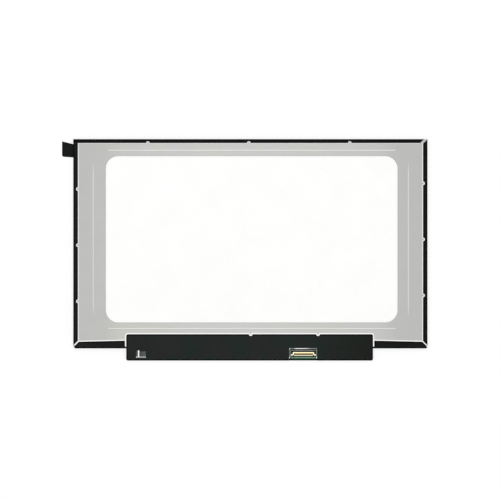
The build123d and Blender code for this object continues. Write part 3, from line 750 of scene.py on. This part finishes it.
def mitre_lips():
    """Narrow black lips along the tapes' mitred edges, over the adhesive at the lower corners."""
    low, high = PLATE_Z + GLUE_HEIGHT + LIP_CLEAR, TAPE_TOP_Z
    lips = (("tape_left", -1, -1, LEFT_SIDE_LIP), ("tape_right", 1, -1, RIGHT_SIDE_LIP),
            ("tape_bottom_right", 1, 1, RIGHT_BOTTOM_LIP))
    bm = bmesh.new()
    for lip in lips:
        plan = lip_plan(*lip)
        loft(bm, [[(x, y, height) for x, y in plan] for height in (low, high)])
    add_piece("mitre_lips", bm, black_film)


def top_glue():
    """A thin line of adhesive along the inner edge of the top tape."""
    edge = span("tape_top")[0].y
    start = span("tape_left")[1].x + GLUE_SIDE
    end = max(v.co.x for v in nodes["tape_top"].data.vertices if v.co.y < (edge + SAME) * MM) / MM
    bm = bmesh.new()
    along = notched_edge(start, end, TOP_NOTCHES, GLUE_TOP)
    glue_strip(bm, [tuple((s, edge - t) for s, t in pair) for pair in along])
    add_piece("edge_glue_top", bm, glue_thin)


def cover_glue():
    """Adhesive round the two ends and the upper edge of the board cover."""
    left, right, top = COVER_LOW.x, COVER_HIGH.x, COVER_HIGH.y
    low = PLATE_LOW + GLUE_FOOT
    r, w = COVER_CORNER, GLUE_COVER
    pairs = [((left, low), (left - w, low))]
    pairs += zip(arc((left + r, top - r), r, 180, 90), arc((left + r, top - r), r + w, 180, 90))
    along = notched_edge(left + r, right - r, COVER_NOTCHES, w)
    pairs += [tuple((s, top + t) for s, t in pair) for pair in along]
    pairs += zip(arc((right - r, top - r), r, 90, 0), arc((right - r, top - r), r + w, 90, 0))
    pairs += [((right, low), (right + w, low))]
    bm = bmesh.new()
    glue_strip(bm, pairs)
    add_piece("edge_glue_cover", bm, glue)


def cover_print():
    """Plain printed marks: an upright bar, a field of fine columns and a row of dashes below them."""
    left, low, high = PRINT_LEFT, PRINT_LOW, PRINT_HIGH
    field_low = low + DASH_ROW
    bar_left, bar_right = left + BAR_START, left + BAR_END

    def mark(bm, x0, x1, y0, y1):
        """One flat mark on the cover."""
        block(bm, x0, x1, y0, y1, COVER_FLAT_Z, COVER_FLAT_Z + INK, INK)

    bm = bmesh.new()
    mark(bm, bar_left, bar_right, low + BAR_FOOT, high)
    add_piece("cover_print_bar", bm, ink)
    bm = bmesh.new()
    mark(bm, left + PRINT_GAP, bar_left - PRINT_GAP, low, field_low - DASH_CLEAR)
    for index in range(DASH_COUNT):
        x = bar_right + PRINT_GAP + index * DASH_PITCH
        mark(bm, x, x + DASH_LENGTH, low, field_low - DASH_CLEAR)
    add_piece("cover_print_dashes", bm, mid_ink)
    bm = bmesh.new()
    mark(bm, left + PRINT_GAP, left + MARGIN_END, field_low, high - MARGIN_DROP)
    for index in range(FIELD_COUNT):
        x = left + FIELD_START + index * FIELD_PITCH
        mark(bm, x, x + FIELD_WIDTH + FIELD_GROWTH * index, field_low, high - FIELD_DROP)
    add_piece("cover_print_field", bm, dim_ink)


def cover_underside(y):
    """Height of the underside of the board cover, from the plate's edge down to its flat part."""
    share = min(max((PLATE_LOW - y) / COVER_DROP_LENGTH, 0.0), 1.0)
    return PLATE_Z - share * COVER_DROP_HEIGHT


def opening_edge():
    """The pale cut edge of the cover's adhesive layer round the receptacle's opening."""
    under, deep, clear = 0.3, 0.03, 0.01
    show_side, show_top = 0.5, 0.68
    left, right = CONNECTOR_X + OPENING_LEFT, CONNECTOR_X + OPENING_RIGHT

    def section(first, second):
        """Four corners of the layer between two points in plan, just below the cover."""
        (x0, y0), (x1, y1) = first, second
        z0, z1 = cover_underside(y0) - clear, cover_underside(y1) - clear
        return [(x0, y0, z0 - deep), (x0, y0, z0), (x1, y1, z1), (x1, y1, z1 - deep)]

    bm = bmesh.new()
    stations = (OPENING_TOP, PLATE_LOW - COVER_DROP_LENGTH, OPENING_LOW)
    for outer, inner in ((left - under, left + show_side), (right + under, right - show_side)):
        loft(bm, [section((outer, y), (inner, y)) for y in stations])
    ends = (left + show_side, right - show_side)
    loft(bm, [section((x, OPENING_TOP + under), (x, OPENING_TOP - show_top)) for x in ends])
    add_piece("opening_edge", bm, cut_edge)


def board_marks():
    """Printed outline on the board round the receptacle, and copper below it."""
    z = BOARD_Z
    x = CONNECTOR_X
    low, bend, high = OUTLINE_LOW, OUTLINE_BEND, OUTLINE_HIGH
    bm = bmesh.new()
    for outer, inner, tip in OUTLINE_ENDS:
        plan = [(outer, low), (inner, low), (inner, bend), (tip, bend), (tip, high), (outer, high)]
        loft(bm, [[(x + px, py, height) for px, py in plan] for height in (z, z + INK)])
    add_piece("board_print", bm, board_ink)
    bm = bmesh.new()
    block(bm, x + COPPER_LEFT, x + COPPER_RIGHT, COPPER_LOW, COPPER_HIGH, z, z + COPPER, COPPER)
    add_piece("board_copper", bm, copper_mask)


def solder_joints():
    """Fillets at the ends of the contact tails and beside the legs of the shell's wings."""
    tail_end = span("connector_contacts")[1].y
    wing_low, wing_high = span("connector_shell")
    z = BOARD_Z
    bm = bmesh.new()
    # Sections of a tail's fillet: reach past the tail, half widths at foot and crown, and height
    fillet = ((0.0, 0.11, 0.11, 0.08), (0.05, 0.12, 0.09, 0.03), (0.12, 0.1, 0.07, 0.008))
    for index in range(CONTACT_COUNT):
        x = CONNECTOR_X + (index - (CONTACT_COUNT - 1) / 2) * CONTACT_PITCH
        loft(bm, [[(x - foot, tail_end + reach, z), (x + foot, tail_end + reach, z),
                   (x + crown, tail_end + reach, z + rise), (x - crown, tail_end + reach, z + rise)]
                  for reach, foot, crown, rise in fillet])
    low, high = wing_low.y + LEG_START, wing_low.y + LEG_END
    stations = ((low - LEG_RUN_OUT, LEG_TIP), (low + LEG_RUN_IN, LEG_FILLET),
                (high - LEG_RUN_IN, LEG_FILLET), (high + LEG_RUN_OUT, LEG_TIP))
    across, up = LEG_HOLLOW
    for side, away in ((wing_low.x, -1), (wing_high.x, 1)):
        loft(bm, [[(side, y, z), (side, y, z + size), (side + away * size * across, y, z + size * up),
                   (side + away * size, y, z)] for y, size in stations])
    add_piece("solder_joints", bm, solder)


def islands(node, gap):
    """Boxes of the separate parts of a node that stand in a row along X."""
    points = sorted((v.co / MM for v in nodes[node].data.vertices), key=lambda point: point.x)
    rows = [[points[0]]]
    for point in points[1:]:
        if point.x - rows[-1][-1].x > gap:
            rows.append([])
        rows[-1].append(point)
    return [(min(p.x for p in row), max(p.x for p in row), min(p.y for p in row), max(p.y for p in row))
            for row in rows]


def bulge(bm, box, height, fade):
    """A soft rise of the cover over a part: full above it, fading to nothing round it."""
    x0, x1, y0, y1 = box
    steps = RISE_STEPS

    def rise(value, low, high):
        outside = max(low - value, value - high, 0.0) / fade
        return 0.5 + 0.5 * math.cos(math.pi * min(outside, 1.0))

    xs = [x0 - fade + (x1 - x0 + 2 * fade) * i / steps for i in range(steps + 1)]
    ys = [y0 - fade + (y1 - y0 + 2 * fade) * i / steps for i in range(steps + 1)]
    sections = []
    for x in xs:
        over = [(x, y, COVER_FLAT_Z + height * rise(x, x0, x1) * rise(y, y0, y1)) for y in ys]
        under = [(x, y, COVER_FLAT_Z - COVER_THICKNESS / 2) for y in reversed(ys)]
        sections.append(over + under)
    loft(bm, sections)


def cover_bulges():
    """Where the parts on the board show through the cover. Only the faces that look up are smooth."""
    bm = bmesh.new()
    for node, gap, height in RISES:
        for box in islands(node, gap):
            bulge(bm, box, height, RISE_FADE)
    piece = add_piece("cover_bulges", bm, cover_film)
    for face in piece.data.polygons:
        face.use_smooth = face.normal.z > 0.5


def floor():
    """A pale floor that looks white, with the object's soft shadow left on it."""
    bpy.ops.mesh.primitive_plane_add(size=FLOOR_SIZE, location=(0, 0, 0))
    plane = bpy.context.object
    plane.name = "floor"
    finish = Finish("floor")
    tone = finish.mix(finish.noise(3.0), srgb(250, 250, 250), srgb(253, 253, 253))
    finish.colour(tone).set(Roughness=0.9, Specular_IOR_Level=0.1)
    glow = finish.add("ShaderNodeEmission")
    path = finish.add("ShaderNodeLightPath")
    seen = finish.maths("MAXIMUM", path.outputs["Is Camera Ray"], path.outputs["Is Glossy Ray"])
    seen = finish.maths("MAXIMUM", seen, path.outputs["Is Transmission Ray"])
    blend = finish.add("ShaderNodeMixShader")
    finish.link(finish.maths("MULTIPLY", seen, FLOOR_GLOW), blend.inputs[0])
    finish.link(finish.shader.outputs[0], blend.inputs[1])
    finish.link(glow.outputs[0], blend.inputs[2])
    finish.link(blend.outputs[0], finish.tree.nodes["Material Output"].inputs["Surface"])
    plane.data.materials.append(finish.material)


def world():
    """Even light from all round, white where it is seen directly or in a reflection."""
    sky = bpy.data.worlds.new("studio")
    sky.use_nodes = True
    bpy.context.scene.world = sky
    tree = sky.node_tree
    background = tree.nodes["Background"]
    path = tree.nodes.new("ShaderNodeLightPath")
    shown = path.outputs["Is Camera Ray"]
    for name in ("Is Glossy Ray", "Is Transmission Ray"):
        either = tree.nodes.new("ShaderNodeMath")
        either.operation = "MAXIMUM"
        tree.links.new(shown, either.inputs[0])
        tree.links.new(path.outputs[name], either.inputs[1])
        shown = either.outputs[0]
    level = tree.nodes.new("ShaderNodeMapRange")
    level.inputs["To Min"].default_value = SKY_LIGHT
    level.inputs["To Max"].default_value = SKY_SHOWN
    tree.links.new(shown, level.inputs["Value"])
    tree.links.new(level.outputs["Result"], background.inputs["Strength"])
    background.inputs["Color"].default_value = (1, 1, 1, 1)


def softbox(name, place, width, height, power, overhead=False):
    """A soft rectangular lamp, aimed at the middle of the panel or straight down. Lengths are in metres."""
    lamp = bpy.data.lights.new(name, "AREA")
    lamp.shape = "RECTANGLE"
    lamp.size = width
    lamp.size_y = height
    lamp.energy = power
    thing = bpy.data.objects.new(name, lamp)
    bpy.context.scene.collection.objects.link(thing)
    thing.location = place
    if not overhead:
        thing.rotation_euler = thing.location.to_track_quat("Z", "Y").to_euler()
    thing.visible_camera = False


def camera():
    """Straight above the panel, with its top edge up in the picture."""
    lens = bpy.data.cameras.new("camera")
    lens.lens = LENS
    lens.sensor_width = SENSOR
    thing = bpy.data.objects.new("camera", lens)
    bpy.context.scene.collection.objects.link(thing)
    distance = FRAME_SPAN * MM * LENS / SENSOR
    thing.location = (FRAME_CENTRE[0] * MM, FRAME_CENTRE[1] * MM, PLATE_Z * MM + distance)
    bpy.context.scene.camera = thing


side_glue()
mitre_lips()
top_glue()
cover_glue()
cover_print()
opening_edge()
board_marks()
solder_joints()
cover_bulges()
floor()
world()
softbox("overhead_strip", place=(-0.02, -0.05, 0.9), width=0.5, height=0.8, power=0.85, overhead=True)
softbox("top_softbox", place=(0.0, 1.25, 0.9), width=1.2, height=0.7, power=2.4)
softbox("left_softbox", place=(-1.25, 0.1, 0.85), width=0.7, height=0.9, power=0.9)
softbox("right_softbox", place=(1.25, 0.1, 0.85), width=0.7, height=0.9, power=0.9)
camera()
bpy.context.scene.view_settings.view_transform = "Standard"
